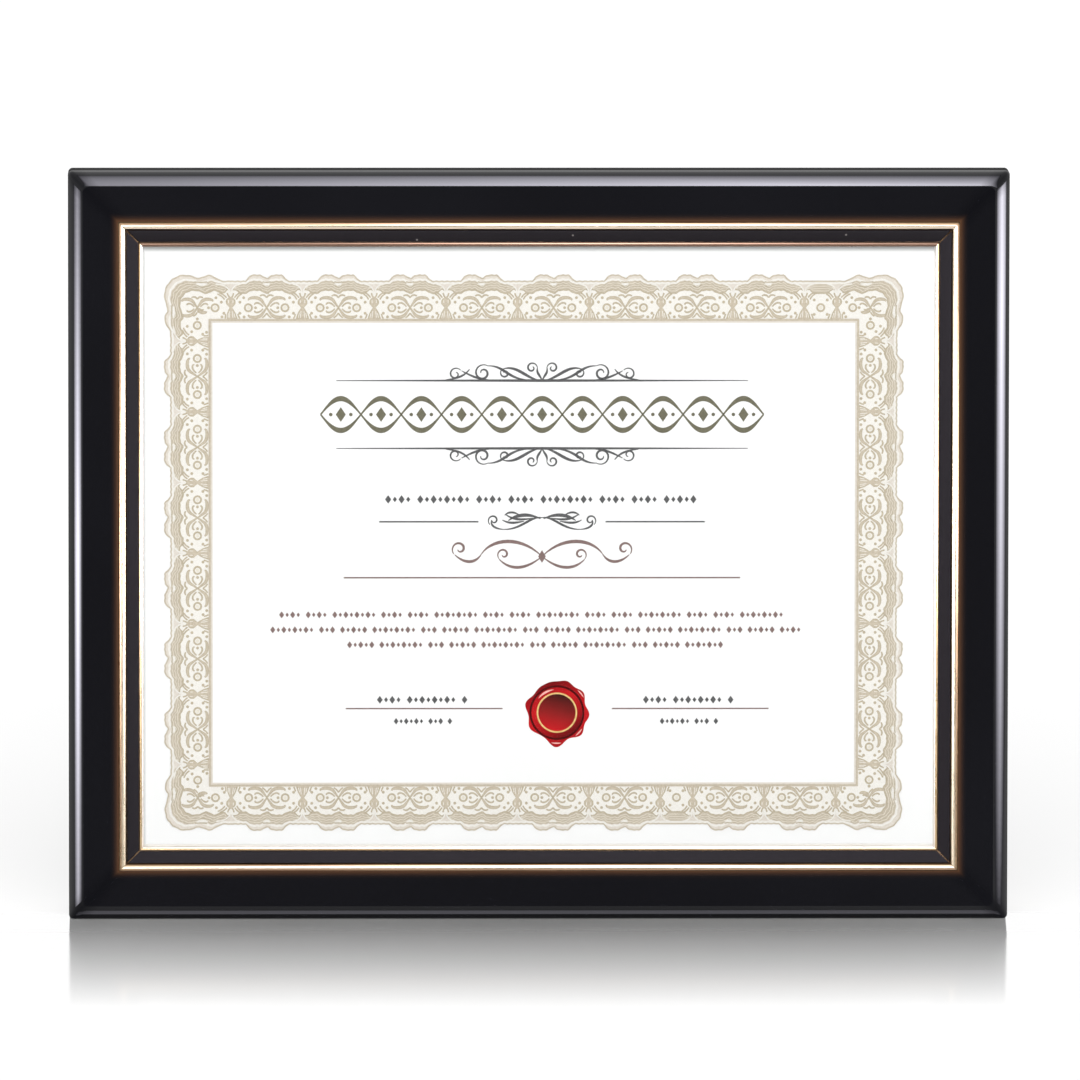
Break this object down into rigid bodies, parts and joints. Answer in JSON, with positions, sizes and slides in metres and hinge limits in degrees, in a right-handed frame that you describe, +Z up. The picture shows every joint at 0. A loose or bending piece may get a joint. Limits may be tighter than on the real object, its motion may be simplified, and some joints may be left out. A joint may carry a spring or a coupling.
{
  "type": "certificate holder",
  "caption": "Landscape certificate frame of black lacquered mitred rails with a gold and black trim, glazed front, turn-button back and a hinged easel leg that it leans on.",
  "frame": {"origin": "on the floor under the middle of the whole object, standing open on its easel leg", "axes": "+X to the right as seen from the front, +Y rearwards so that the face looks towards -Y, +Z up"},
  "size_m": [0.3174, 0.0746, 0.2522],
  "materials": {
    "lacquer": "high-gloss black polyester lacquer over fibreboard",
    "gold": "polished, gold anodised",
    "inlay": "satin black strip",
    "glass": "clear float glass",
    "paper": "printed card stock",
    "filler": "plain board",
    "backing": "fibreboard covered in black flocked paper",
    "brass": "stamped, brass plated",
    "steel": "zinc plated"
  },
  "bodies": {
    "frame": {"top_rail": "lacquer", "bottom_rail": "lacquer", "left_rail": "lacquer", "right_rail": "lacquer", "top_trim_channel": "gold", "bottom_trim_channel": "gold", "left_trim_channel": "gold", "right_trim_channel": "gold", "top_trim_inlay": "inlay", "bottom_trim_inlay": "inlay", "left_trim_inlay": "inlay", "right_trim_inlay": "inlay", "glass": "glass", "certificate_sheet": "paper", "filler_board": "filler", "backing_board": "backing", "corner_nail_top_left": "steel", "corner_nail_top_right": "steel", "corner_nail_bottom_left": "steel", "corner_nail_bottom_right": "steel", "button_screw_top_left": "steel", "button_screw_top_right": "steel", "button_screw_bottom_left": "steel", "button_screw_bottom_right": "steel", "button_screw_left": "steel", "button_screw_right": "steel", "top_hanger": "steel", "top_hanger_nail_a": "steel", "top_hanger_nail_b": "steel", "left_hanger": "steel", "left_hanger_nail_a": "steel", "left_hanger_nail_b": "steel", "hinge_bracket_left": "brass", "hinge_bracket_right": "brass", "hinge_pin": "steel", "bracket_rivet_upper_left": "brass", "bracket_rivet_lower_left": "brass", "bracket_rivet_upper_right": "brass", "bracket_rivet_lower_right": "brass"},
    "leg": {"easel_leg": "backing", "hinge_leaf": "brass", "leg_rivet_left": "brass", "leg_rivet_right": "brass"},
    "button_top_left": {"turn_button_top_left": "brass"},
    "button_top_right": {"turn_button_top_right": "brass"},
    "button_bottom_left": {"turn_button_bottom_left": "brass"},
    "button_bottom_right": {"turn_button_bottom_right": "brass"},
    "button_left": {"turn_button_left": "brass"},
    "button_right": {"turn_button_right": "brass"}
  },
  "joints": [
    {"name": "leg_fold", "type": "hinge", "parent": "frame", "child": "leg", "pos_m": [0, 0.01379, 0.16128], "axis": [1, 0, 0], "range_deg": [-19, 0]},
    {"name": "turn_top_left", "type": "hinge", "parent": "frame", "child": "button_top_left", "pos_m": [-0.085, 0.02177, 0.23705], "axis": [0, 0.9848, -0.1736], "continuous": true},
    {"name": "turn_top_right", "type": "hinge", "parent": "frame", "child": "button_top_right", "pos_m": [0.085, 0.02177, 0.23705], "axis": [0, 0.9848, -0.1736], "continuous": true},
    {"name": "turn_bottom_left", "type": "hinge", "parent": "frame", "child": "button_bottom_left", "pos_m": [-0.085, -0.01782, 0.01251], "axis": [0, 0.9848, -0.1736], "continuous": true},
    {"name": "turn_bottom_right", "type": "hinge", "parent": "frame", "child": "button_bottom_right", "pos_m": [0.085, -0.01782, 0.01251], "axis": [0, 0.9848, -0.1736], "continuous": true},
    {"name": "turn_left", "type": "hinge", "parent": "frame", "child": "button_left", "pos_m": [-0.14575, -0.00671, 0.07554], "axis": [0, 0.9848, -0.1736], "continuous": true},
    {"name": "turn_right", "type": "hinge", "parent": "frame", "child": "button_right", "pos_m": [0.14575, -0.00671, 0.07554], "axis": [0, 0.9848, -0.1736], "continuous": true}
  ]
}
